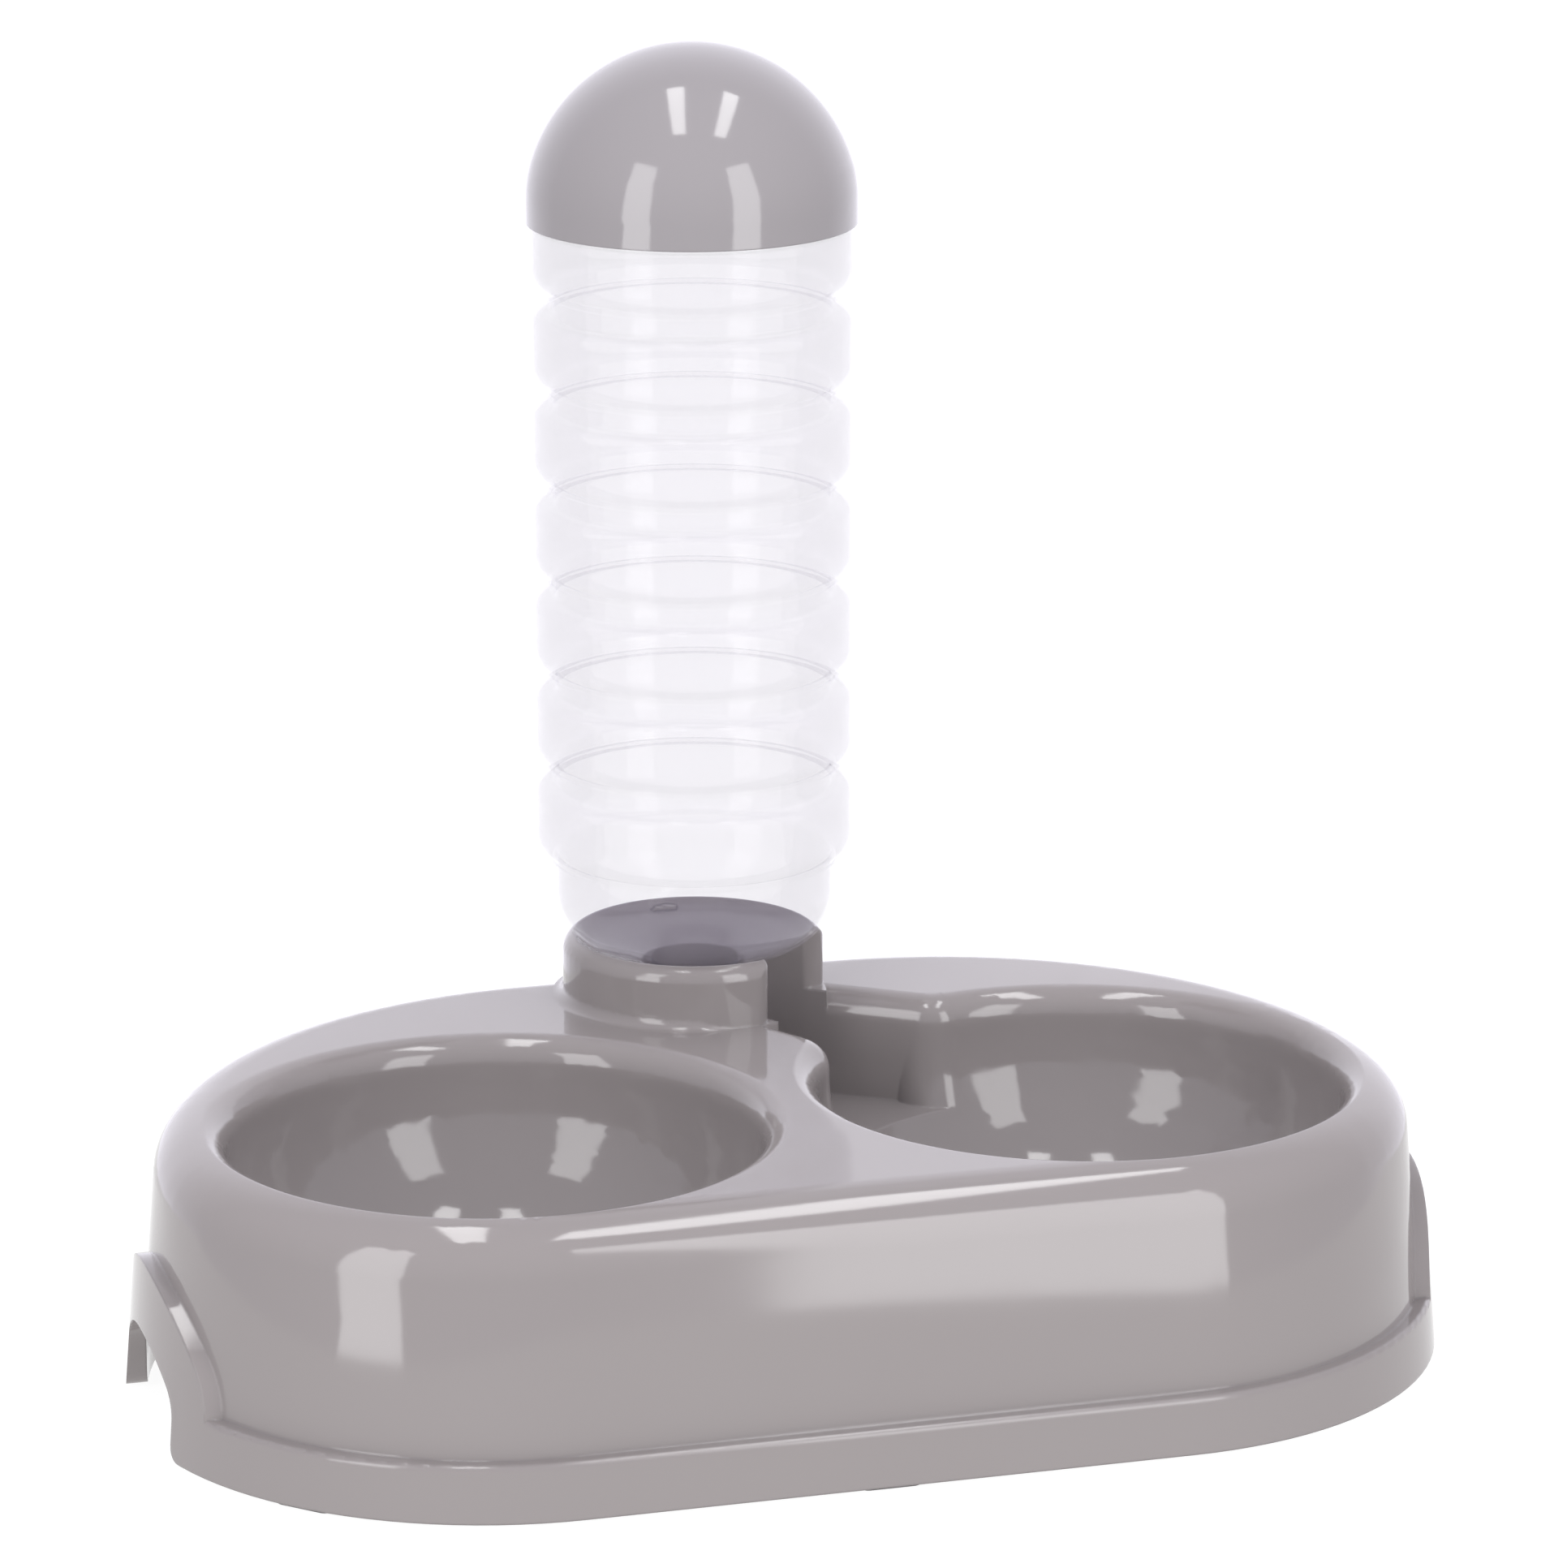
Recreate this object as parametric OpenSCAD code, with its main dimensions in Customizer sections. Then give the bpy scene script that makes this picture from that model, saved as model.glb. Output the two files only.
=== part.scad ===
// Double pet bowl with a gravity water bottle. Millimetres, +Z up.
// The origin is under the middle of the whole object, on the surface that the feet stand on.

/* [Tray] */
// Height of the deck above the underside of the skirt
deck_h = 59; // [55:1:75]
// Distance between the centres of the two front corners
corner_span = 127; // [118:1:140]
// Radius of the wall at the two front corners, at the top of the skirt
front_r = 72.5; // [70:0.5:80]
// Radius of the wall at the two back corners, at the top of the skirt
back_r = 101; // [98:0.5:115]
// Inward lean of the wall, in millimetres for each millimetre of height
wall_lean = 0.08; // [0.04:0.01:0.1]
// Radius of the rounded edge between wall and deck
edge_r = 12; // [8:0.5:14]
// Thickness of the moulding
wall_t = 2.5; // [2:0.1:3]

/* [Skirt] */
// Height of the skirt band round the foot of the wall
skirt_h = 12; // [9:0.5:16]
// How far the skirt stands out from the wall
skirt_out = 4; // [3:0.5:5]
// Thickness of the skirt band
skirt_t = 4.5; // [4:0.1:5]
// Radius of the small edge along the top of the skirt
skirt_edge_r = 1; // [0.6:0.1:1.5]

/* [Handles] */
// Width of the raised band of a handle at the top of the skirt
handle_w = 66; // [60:1:72]
// Height of the raised band of a handle above the underside of the skirt
handle_h = 35; // [32:0.5:38]
// Radius of the lower ends of the raised band
handle_end_r = 17; // [14:0.5:18]
// Width of the finger hole
grip_w = 43; // [36:1:46]
// Height of the finger hole
grip_h = 21; // [19:0.5:23]
// Height at which the finger hole's arch springs from its legs
grip_spring_h = 8; // [6:0.5:9]
// Radius of the ends of the finger hole's arch
grip_end_r = 8.5; // [7:0.5:10]

/* [Bowls] */
// Distance between the centres of the two bowls
bowl_span = 127; // [124:1:130]
// Distance of the bowls' centres in front of the line through the corners' centres
bowl_forward = 1.5; // [0:0.5:4]
// Diameter of a bowl at its widest, below the rounded rim
bowl_d = 111; // [100:1:114]
// Depth of a bowl below the deck
bowl_depth = 47; // [47:0.5:50]
// Radius of the round side of a bowl
bowl_side_r = 40; // [34:0.5:40.5]
// Radius of the rounded rim of the bowls and of the channel
rim_r = 6; // [4:0.5:6.5]

/* [Collar] */
// Distance of the bottle's axis behind the bowls' centres
bottle_back = 75.9; // [74:0.1:78]
// Outer diameter of the collar
collar_d = 57.6; // [56:0.2:60]
// Height of the collar's rim above the deck
collar_h = 14.1; // [13:0.1:16]
// Radius of the rounded outer edge of the collar's rim
collar_edge_r = 2; // [1:0.1:2.2]
// Diameter of the hole for the bottle's neck
hole_d = 23; // [22.6:0.1:24]
// Radius of the rounded corners where the collar ends at the slot
collar_corner_r = 4; // [2.5:0.5:5]

/* [Channel] */
// Direction of the slot and channel from the bottle's axis, in degrees
channel_turn = -40; // [-44:1:-36]
// Distance from the bottle's axis at which the channel starts to widen
flare_from = 22; // [21:0.5:24]
// Angle by which the channel's back wall turns outwards, in degrees
flare_back = 4.3; // [2:0.1:6]
// Angle by which the channel's front wall turns outwards, in degrees
flare_front = 19; // [15:1:22]
// Depth of the channel's floor below the deck
channel_depth = 23.5; // [20:0.5:26]

/* [Bottle] */
// Diameter of the bottle over its ribs
bottle_d = 70; // [69:0.5:71]
// Depth of the grooves between the ribs
groove_depth = 4.2; // [3.5:0.1:4.6]
// Distance from one rib to the next
rib_pitch = 20.7; // [19.5:0.1:21]
// Number of grooves
grooves = 6; // [4:1:6]
// Height of a groove's floor
groove_floor = 3.2; // [2.6:0.1:4]
// Radius of the upper shoulder of a rib
rib_top_r = 3.4; // [2.5:0.1:3.5]
// Radius of the lower shoulder of a rib
rib_foot_r = 5.6; // [5:0.1:7]
// Height of the uppermost rib up to the dome cap
top_rib_h = 15.5; // [13:0.5:18]
// Diameter of the plain waist below the ribs
waist_d = 61.6; // [61:0.1:62]
// Height of the waist between the lowest rib and the rounded shoulder
waist_h = 7; // [5:0.5:9]
// Radius of the rounded shoulder above the collar
shoulder_r = 13.8; // [13:0.1:15]
// Slope of the shoulder towards the neck, in degrees
shoulder_slope = 20; // [16:1:22]
// Outer diameter of the neck
neck_d = 22; // [21:0.1:22.2]
// Length of the neck below the shoulder
neck_l = 18; // [14:0.5:22]
// Thickness of the bottle's wall
bottle_t = 1; // [0.8:0.1:1.2]
// Thickness of the neck's wall
neck_t = 1.5; // [1.2:0.1:2]
// Clearance between the bottle's shoulder and the collar's seat
seat_gap = 0.3; // [0.2:0.05:0.4]

/* [Cap] */
// Outer diameter of the dome cap
cap_d = 70.7; // [70:0.1:72]
// Height of the straight rim of the dome cap
cap_rim_h = 5; // [3:0.5:7]
// Height of the dome above its straight rim
dome_h = 33; // [31:0.5:34]
// Radius of the dome's round side
dome_side_r = 27; // [25:0.5:29]
// Thickness of the dome cap
cap_t = 2; // [1.5:0.1:2.5]
// Height of the bottle's plug inside the dome cap
plug_h = 12; // [10:0.5:14]
// Clearance between the plug and the dome cap
plug_gap = 0.2; // [0.1:0.05:0.3]

/* [Feet] */
// Length of a foot pad along the skirt
pad_l = 13; // [10:0.5:15]
// Width of a foot pad
pad_w = 8; // [6:0.5:9]
// Corner radius of a foot pad
pad_corner_r = 2; // [1:0.5:3]
// How far a foot pad stands below the skirt
pad_proud = 0.8; // [0.8:0.1:1.5]
// How deep a foot pad sits in its recess
pad_recess = 1; // [0.8:0.1:1.5]
// Height of the boss above a foot pad
boss_h = 6; // [4:0.5:8]
// Distance of a foot pad from the outer face of the skirt
pad_inset = 1.5; // [0.6:0.1:2]

/* [Hidden] */
$fn = 96;
// Colours
tray_colour = [0.72, 0.70, 0.71];
bottle_colour = [0.93, 0.93, 0.96, 0.35];
cap_colour = [0.70, 0.68, 0.68];
pad_colour = [0.25, 0.24, 0.24];
// Overlap that carries a cut past the face that it opens
over = 5;
// Small lift that makes a rounded cut cross the deck at an angle
graze = 0.03;
// Turns by which the round part of a section runs on into its straight parts
lap_turn = 40;
bowl_lap_turn = 10;
// Turn by which the crown of an arch stops short of where it meets the arch's round ends
crown_trim = 1;
// Places, from the driving dimensions
back_reach = max(back_r + skirt_out, bottle_back - bowl_forward + cap_d / 2);
corner_y = (front_r + skirt_out - back_reach) / 2;
back_span = corner_span - 2 * (back_r - front_r);
bowl_y = corner_y - bowl_forward;
axis_y = bowl_y + bottle_back;
bowl_r = bowl_d / 2;
collar_r = collar_d / 2;
hole_r = hole_d / 2;
rim_z = deck_h + collar_h;
floor_z = deck_h - channel_depth;
// Bottle, from the seat upwards
waist_r = waist_d / 2;
lobe_r = bottle_d / 2;
neck_r = neck_d / 2;
shoulder_x = waist_r - shoulder_r;
// Height of the shoulder's centre, where its curve passes just inside the collar's rim
seat_x = collar_r - collar_edge_r - 0.2;
shoulder_z = rim_z + sqrt(pow(shoulder_r + seat_gap, 2) - pow(seat_x - shoulder_x, 2));
slope_x = shoulder_x + shoulder_r * sin(shoulder_slope);
slope_z = shoulder_z - shoulder_r * cos(shoulder_slope);
neck_z = slope_z - (slope_x - neck_r) * tan(shoulder_slope);
mouth_z = neck_z - neck_l;
ribs_z = shoulder_z + waist_h;
cap_z = ribs_z + grooves * rib_pitch + top_rib_h;
plug_r = cap_d / 2 - cap_t - plug_gap;
plug_edge_r = plug_h - cap_rim_h;

// A slice of a disc, from angle a to angle b
module slice(r, a, b) {
    intersection() {
        circle(r);
        polygon([[0, 0], 2 * r * [cos(a), sin(a)], 3 * r * [cos((a + b) / 2), sin((a + b) / 2)],
                 2 * r * [cos(b), sin(b)]]);
    }
}

// Half of an upright section whose side leans inwards and whose top edge is rounded.
// The side is at x = r where z = at, and the section runs from z = foot to z = h.
module leaning_section(r, foot, h, at, lean, round_r) {
    stretch = sqrt(1 + lean * lean);
    line = r + lean * at;
    cz = h - round_r;
    cx = line - lean * cz - round_r * stretch;
    touch = [cx + round_r / stretch, cz + round_r * lean / stretch];
    polygon([[0, foot], [line - lean * foot, foot], touch, [cx, h], [0, h]]);
    translate([cx, cz]) slice(round_r, atan(lean) - lap_turn, 90 + lap_turn);
}

// An upright post with a round top, h high
module round_post(r, h) {
    rotate_extrude() {
        square([r, h - r]);
        translate([0, h - r]) slice(r, -lap_turn, 90);
    }
}

// A solid that follows the tray's outline: four corners and two straight stretches
module tray_form(out, foot, h, at, lean, round_r) {
    translate([0, corner_y, 0]) {
        for (side = [0, 1]) mirror([side, 0, 0]) {
            translate([corner_span / 2, 0, 0]) rotate([0, 0, -90]) rotate_extrude(angle = 90)
                leaning_section(front_r + out, foot, h, at, lean, round_r);
            translate([back_span / 2, 0, 0]) rotate_extrude(angle = 90)
                leaning_section(back_r + out, foot, h, at, lean, round_r);
        }
        translate([corner_span / 2, 0, 0]) rotate([90, 0, -90]) linear_extrude(corner_span)
            leaning_section(front_r + out, foot, h, at, lean, round_r);
        translate([-back_span / 2, 0, 0]) rotate([90, 0, 90]) linear_extrude(back_span)
            leaning_section(back_r + out, foot, h, at, lean, round_r);
    }
}

// An arch of three arcs, w wide and h high above its springing line, with legs down to below its crown's centre
module arch(w, h, end_r) {
    a = w / 2 - end_r;
    crown_r = (a * a + h * h - end_r * end_r) / (2 * (h - end_r));
    turn = atan((crown_r - h) / a);
    for (side = [-1, 1]) translate([side * a, 0]) circle(end_r);
    translate([0, h - crown_r]) slice(crown_r, turn + crown_trim, 180 - turn - crown_trim);
    leg = crown_r - h + over;
    translate([-w / 2, -leg]) square([w, leg]);
}

// An arch, h high, that runs out through the right end of the tray from just outside the bowl
module end_arch(w, h, spring, end_r) {
    translate([bowl_span / 2 + bowl_r + 2 * wall_t, corner_y, spring]) rotate([90, 0, 90])
        linear_extrude(front_r) arch(w, h - spring, end_r);
}

// The raised band of the right handle: the tray's form, out from its wall, cut to an arch
module end_band(out, foot, w, h, end_r) {
    intersection() {
        tray_form(out, foot, h + over, 0, 0, skirt_edge_r);
        end_arch(w, h, skirt_h - skirt_edge_r, end_r);
    }
}

// Half of the section of a bowl, t outside the bowl's inner face
module bowl_section(t) {
    flat = bowl_r - bowl_side_r;
    mid = deck_h - bowl_depth + bowl_side_r;
    translate([flat, mid]) slice(bowl_side_r + t, -90 - bowl_lap_turn, bowl_lap_turn);
    translate([0, mid - bowl_side_r - t]) square([flat, bowl_side_r + t]);
    translate([0, mid]) square([bowl_r + t, deck_h - rim_r + graze - mid]);
}

// The hollow of one bowl with its rounded rim
module bowl_hollow() {
    top = deck_h - rim_r + graze;
    rotate_extrude() {
        bowl_section(0);
        difference() {
            translate([0, top]) square([bowl_r + rim_r, rim_r + over]);
            translate([bowl_r + rim_r, top]) circle(rim_r);
        }
    }
}

// Where the corner between a channel wall and a bowl's rim is rounded: the centre of the
// upright edge, found along the wall from start, at distance away from the point mid
function corner_centre(start, along, out, r, mid, away, sign) =
    let (q = start + r * out - mid, k = q * along)
    start + r * out + (-k + sign * sqrt(k * k - q * q + away * away)) * along;

// Where the channel ends inside the water bowl, and that bowl's centre, seen along the channel
bowl_away = norm([bowl_span / 2, bottle_back]);
bowl_turn = -atan(bottle_back / (bowl_span / 2)) - channel_turn;
bowl_mid = bowl_away * [cos(bowl_turn), sin(bowl_turn)];
bowl_mirrored = [bowl_mid[0], -bowl_mid[1]];
channel_far = bowl_away - 0.7 * bowl_r;

// Places its children along the channel
module along_channel() {
    translate([0, axis_y, 0]) rotate([0, 0, channel_turn]) children();
}

// Half of the channel's width at its end, t outside the wall that turns outwards by flare
function channel_side(t, flare) = hole_r + (channel_far - flare_from) * tan(flare) + t / cos(flare);

// The round well, the slot and the channel as one block, t outside their faces, from foot to top
module channel_block(t, foot, top) {
    near = hole_r + t;
    along_channel() translate([0, 0, foot]) linear_extrude(top - foot) {
        circle(near);
        polygon([[0, -near], [flare_from, -near], [channel_far, -channel_side(t, flare_front)],
                 [channel_far, channel_side(t, flare_back)], [flare_from, near], [0, near]]);
    }
}

// What is cut away to round the top edge of one channel wall, up to its corner with the bowl.
// The wall turns outwards by flare, and mid is the bowl's centre.
module channel_edge(flare, mid) {
    top = deck_h - rim_r + graze;
    start = [flare_from, hole_r];
    along = [cos(flare), sin(flare)];
    out = [-sin(flare), cos(flare)];
    post = corner_centre(start, along, out, rim_r, mid, bowl_r + rim_r, -1);
    translate(start) rotate([0, 0, flare]) rotate([90, 0, 90]) translate([0, 0, -over])
        linear_extrude((post - start) * along + over) difference() {
            translate([-over, top]) square([rim_r + over, rim_r + over]);
            translate([rim_r, top]) circle(rim_r);
        }
}

// What is cut away to round the upright corner between one channel wall and the bowl
module channel_corner(flare, mid) {
    start = [flare_from, hole_r];
    along = [cos(flare), sin(flare)];
    out = [-sin(flare), cos(flare)];
    post = corner_centre(start, along, out, rim_r, mid, bowl_r + rim_r, -1);
    inward = (mid - post) / norm(mid - post);
    tip = (inward - out) / norm(inward - out);
    difference() {
        translate([0, 0, floor_z]) linear_extrude(deck_h - floor_z + over)
            polygon([post, post - (rim_r + over) * out, post + 3 * rim_r * tip, post + (rim_r + over) * inward]);
        translate(post) round_post(rim_r, deck_h + graze);
    }
}

// What is cut away to round the upright corner between one slot wall and the collar's face
module collar_corner(flare) {
    start = [flare_from, hole_r];
    along = [cos(flare), sin(flare)];
    out = [-sin(flare), cos(flare)];
    post = corner_centre(start, along, out, collar_corner_r, [0, 0], collar_r - collar_corner_r, 1);
    outward = post / norm(post);
    tip = (outward - out) / norm(outward - out);
    difference() {
        translate([0, 0, deck_h]) linear_extrude(collar_h + over)
            polygon([post, post - (collar_corner_r + over) * out, post + 4 * collar_corner_r * tip,
                     post + (collar_corner_r + over) * outward]);
        translate(post) rotate_extrude()
            leaning_section(collar_corner_r, 0, rim_z, 0, 0, collar_edge_r);
    }
}

// Half of the section of the seat that takes the bottle's shoulder, gap outside the shoulder
module seat_section(gap, r) {
    touch = [slope_x + gap * sin(shoulder_slope), slope_z - gap * cos(shoulder_slope)];
    low = touch[1] - (touch[0] - r) * tan(shoulder_slope);
    translate([shoulder_x, shoulder_z]) circle(shoulder_r + gap);
    polygon([[0, shoulder_z], [0, low], [r, low], touch, [shoulder_x, shoulder_z]]);
}

// The collar round the bottle's hole, solid, with its corners at the slot rounded
module collar_body() {
    difference() {
        translate([0, axis_y, 0]) rotate_extrude()
            leaning_section(collar_r, deck_h - rim_r - wall_t, rim_z, 0, 0, collar_edge_r);
        along_channel() {
            collar_corner(flare_back);
            mirror([0, 1, 0]) collar_corner(flare_front);
        }
    }
}

// The hollow inside the collar, under the seat
module collar_hollow() {
    translate([0, axis_y, 0]) rotate_extrude() difference() {
        translate([hole_r + wall_t, deck_h - 2 * wall_t])
            square([collar_r - hole_r - 2 * wall_t, collar_h + wall_t]);
        seat_section(seat_gap + wall_t, hole_r);
    }
}

// The outer form of the tray with its skirt, handles and deck
module tray_outside() {
    tray_form(0, 0, deck_h, skirt_h, wall_lean, edge_r);
    tray_form(skirt_out, 0, skirt_h, 0, 0, skirt_edge_r);
    for (side = [0, 1]) mirror([side, 0, 0]) end_band(skirt_out, 0, handle_w, handle_h, handle_end_r);
}

// The hollow under the deck, before the bowls hang down into it
module tray_inside() {
    tray_form(-wall_t, -over, deck_h - wall_t, skirt_h, wall_lean, edge_r - wall_t);
    tray_form(skirt_out - skirt_t, -over, skirt_h - wall_t, 0, 0, skirt_edge_r);
    for (side = [0, 1]) mirror([side, 0, 0])
        end_band(skirt_out - skirt_t, -over, handle_w - 2 * wall_t, handle_h - wall_t, handle_end_r - wall_t);
    collar_hollow();
}

// Places of the foot pads: [x, y, turn], three along the front and three along the back
pad_mid = pad_inset + pad_w / 2;
pad_places = concat(
    [for (side = [-1, 1]) let (r = front_r + skirt_out - pad_mid)
        [side * (corner_span / 2 + r * cos(45)), corner_y - r * sin(45), side * 45]],
    [for (side = [-1, 1]) let (r = back_r + skirt_out - pad_mid)
        [side * (back_span / 2 + r * cos(45)), corner_y + r * sin(45), -side * 45]],
    [[0, corner_y - front_r - skirt_out + pad_mid, 0], [0, corner_y + back_r + skirt_out - pad_mid, 0]]);

// One foot pad's plan, t outside its edge
module pad_plan(t) {
    for (turn = [0, 180]) rotate(turn) {
        translate([pad_l / 2 - pad_corner_r, pad_w / 2 - pad_corner_r]) slice(pad_corner_r + t, 0, 90);
        translate([-pad_l / 2 + pad_corner_r, pad_w / 2 - pad_corner_r]) slice(pad_corner_r + t, 90, 180);
    }
    square([pad_l - 2 * pad_corner_r, pad_w + 2 * t], center = true);
    square([pad_l + 2 * t, pad_w - 2 * pad_corner_r], center = true);
}

// The tray: one moulding with both bowls, the channel, the collar and the handles
module tray() {
    color(tray_colour) translate([0, 0, pad_proud]) difference() {
        tray_shell();
        for (side = [0, 1]) mirror([side, 0, 0]) end_arch(grip_w, grip_h, grip_spring_h, grip_end_r);
        for (p = pad_places) translate([p[0], p[1], -over]) rotate([0, 0, p[2]])
            linear_extrude(pad_recess + over) pad_plan(0);
    }
}

// The tray without its finger holes and its recesses for the pads
module tray_shell() {
    difference() {
        union() {
            difference() {
                tray_outside();
                along_channel() channel_edge(flare_back, bowl_mid);
                along_channel() mirror([0, 1, 0]) channel_edge(flare_front, bowl_mirrored);
            }
            collar_body();
        }
        difference() {
            tray_inside();
            for (side = [-1, 1]) translate([side * bowl_span / 2, bowl_y, 0]) {
                rotate_extrude() bowl_section(wall_t);
                translate([0, 0, deck_h - rim_r]) cylinder(r = bowl_r + wall_t, h = rim_r);
                translate([0, 0, deck_h - rim_r - wall_t]) cylinder(r = bowl_r + rim_r, h = rim_r + wall_t);
            }
            channel_block(wall_t, floor_z - wall_t, rim_z);
            channel_block(rim_r, deck_h - rim_r - wall_t, deck_h);
            for (p = pad_places) translate([p[0], p[1], 0]) rotate([0, 0, p[2]])
                translate([0, 0, boss_h / 2]) cube([pad_l + 2 * wall_t, pad_w + 2 * wall_t, boss_h], center = true);
        }
        for (side = [-1, 1]) translate([side * bowl_span / 2, bowl_y, 0]) bowl_hollow();
        channel_block(0, floor_z, rim_z + over);
        translate([0, axis_y, 0]) rotate_extrude() seat_section(seat_gap, hole_r - wall_t);
    }
}

// Six rubber pads in the underside of the skirt
module foot_pads() {
    color(pad_colour) for (p = pad_places) translate([p[0], p[1], 0]) rotate([0, 0, p[2]])
        linear_extrude(pad_proud + pad_recess) pad_plan(0);
}

// Half of the section of one rib, t inside the bottle's outer face. Its top is at z = 0.
module rib_section(t) {
    h = rib_pitch - groove_floor - 2 * t;
    foot_r = rib_foot_r - t;
    top_r = rib_top_r - t;
    r = lobe_r - t;
    core = lobe_r - groove_depth - t;
    foot_x = r - foot_r;
    foot_h = sqrt(foot_r * foot_r - pow(core - foot_x, 2));
    translate([0, -t]) {
        translate([0, -h + foot_h]) square([r, h - foot_h - top_r]);
        translate([0, -top_r - 1]) square([r - top_r, top_r + 1]);
        translate([r - top_r, -top_r]) circle(top_r);
        translate([foot_x, -h + foot_h]) circle(foot_r);
        translate([0, -h]) square([core, foot_h + 1]);
    }
}

// Half of the bottle's section, t inside its outer face, without the neck
module bottle_section(t) {
    core = lobe_r - groove_depth - t;
    touch = [slope_x - t * sin(shoulder_slope), slope_z + t * cos(shoulder_slope)];
    low = touch[1] - (touch[0] - (neck_r - neck_t)) * tan(shoulder_slope);
    translate([shoulder_x, shoulder_z]) circle(shoulder_r - t);
    polygon([[0, shoulder_z], [0, low], [neck_r - neck_t, low], touch, [shoulder_x, shoulder_z]]);
    translate([0, shoulder_z - 1]) square([shoulder_x, 2]);
    translate([0, shoulder_z]) square([waist_r - t, waist_h + 2 * t]);
    translate([0, ribs_z]) square([core, cap_z - ribs_z - t]);
    for (i = [1:grooves]) translate([0, ribs_z + i * rib_pitch - groove_floor]) rib_section(t);
    top = ribs_z + grooves * rib_pitch;
    foot_r = rib_foot_r - t;
    foot_x = lobe_r - t - foot_r;
    foot_h = sqrt(foot_r * foot_r - pow(core - foot_x, 2));
    translate([0, top + t]) {
        translate([0, foot_h]) square([lobe_r - t, cap_z - top - foot_h - 2 * t]);
        translate([foot_x, foot_h]) circle(foot_r);
        square([core, foot_h + 1]);
    }
    translate([0, cap_z]) leaning_section(plug_r - t, -over, plug_h - t, 0, 0, plug_edge_r - t);
}

// The clear bottle, blown in one piece, standing on its neck
module bottle() {
    color(bottle_colour) translate([0, axis_y, pad_proud]) rotate_extrude() difference() {
        union() {
            bottle_section(0);
            translate([0, mouth_z]) square([neck_r, neck_z - mouth_z + 1]);
        }
        bottle_section(bottle_t);
        translate([0, mouth_z - over]) square([neck_r - neck_t, neck_z - mouth_z + 2 * over]);
    }
}

// Half of the dome's section, t inside its outer face, above z = 0
module dome_section(t) {
    r = cap_d / 2;
    a = r - dome_side_r;
    crown_r = (a * a + dome_h * dome_h - dome_side_r * dome_side_r) / (2 * (dome_h - dome_side_r));
    turn = atan((crown_r - dome_h) / a);
    translate([0, -1]) square([r - t, 1 + cap_rim_h]);
    translate([0, cap_rim_h]) {
        translate([a, 0]) slice(dome_side_r - t, 0, turn);
        intersection() {
            translate([0, dome_h - crown_r]) slice(crown_r - t, turn, 180 - turn);
            square([r, dome_h]);
        }
    }
}

// The dome cap on the bottle's closed end
module dome_cap() {
    color(cap_colour) translate([0, axis_y, pad_proud + cap_z]) rotate_extrude() difference() {
        intersection() {
            dome_section(0);
            square([cap_d, dome_h + 2 * over]);
        }
        dome_section(cap_t);
    }
}

tray();
bottle();
dome_cap();
foot_pads();
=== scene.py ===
# %% [markdown]
# # A double pet bowl with a water bottle
# This notebook dresses a finished model of a glossy plastic tray with two bowls. A clear ribbed
# bottle stands neck down in a collar on the tray, with a dome on top, and small rubber pads sit
# under the skirt. The model comes in as a fixed frame, in metres, with +Z up and +X towards the
# water bowl. Nothing here moves or resizes it. The cells below give each piece its finish, round
# off a few forms of the tray on a copy of its mesh, and add a floor, lights and a camera.

# %% Load the frame
import math

import bmesh
import bpy
from mathutils import Matrix, Vector


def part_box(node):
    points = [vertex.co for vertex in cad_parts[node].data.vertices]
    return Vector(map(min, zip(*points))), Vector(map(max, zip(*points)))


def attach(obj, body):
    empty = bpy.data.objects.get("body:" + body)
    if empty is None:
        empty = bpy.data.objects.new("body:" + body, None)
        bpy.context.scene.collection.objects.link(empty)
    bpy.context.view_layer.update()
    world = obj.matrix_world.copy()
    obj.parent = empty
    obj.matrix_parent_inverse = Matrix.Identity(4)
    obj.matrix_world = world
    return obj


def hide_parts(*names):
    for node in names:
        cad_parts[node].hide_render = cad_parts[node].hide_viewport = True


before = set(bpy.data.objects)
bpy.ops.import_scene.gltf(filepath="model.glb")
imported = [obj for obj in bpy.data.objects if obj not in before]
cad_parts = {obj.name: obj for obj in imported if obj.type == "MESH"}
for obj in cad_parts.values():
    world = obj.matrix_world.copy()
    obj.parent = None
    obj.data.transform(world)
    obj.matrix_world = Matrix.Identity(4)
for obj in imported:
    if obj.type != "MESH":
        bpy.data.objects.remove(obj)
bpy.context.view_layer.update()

MM = 0.001

# %% [markdown]
# ## Camera
# The picture was taken with a long lens from the front left, looking down a little, so upright
# lines stay nearly upright. A long lens is matched by its distance as much as by its angle: the
# camera stands 1.4 m away, which keeps the far bowl almost as large as the near one.

# %% Camera
CAMERA_PLACE = Vector((-372.5, -1305.5, 500.3)) * MM
CAMERA_TURN = math.radians(-16.07)
CAMERA_DOWN = math.radians(15.56)
CAMERA_SENSOR = 36.0
CAMERA_LENS = 155.2

camera_data = bpy.data.cameras.new("camera")
camera_data.sensor_fit = "VERTICAL"
camera_data.sensor_height = CAMERA_SENSOR
camera_data.lens = CAMERA_LENS
camera_data.clip_start = 0.01
camera_data.clip_end = 50.0
camera = bpy.data.objects.new("camera", camera_data)
camera.location = CAMERA_PLACE
camera.rotation_euler = (math.pi / 2 - CAMERA_DOWN, 0.0, CAMERA_TURN)
bpy.context.scene.collection.objects.link(camera)
bpy.context.scene.camera = camera
print("camera at", tuple(round(v, 3) for v in camera.location))

# %% [markdown]
# ## Node helpers
# Each finish is a small node tree. A few helpers keep the cells short: one starts a material and
# hands back its main shader, one adds a node and sets its sockets by name, and the others make
# the pairs of nodes that every finish here uses: noise, a changed range and a bump.

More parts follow.
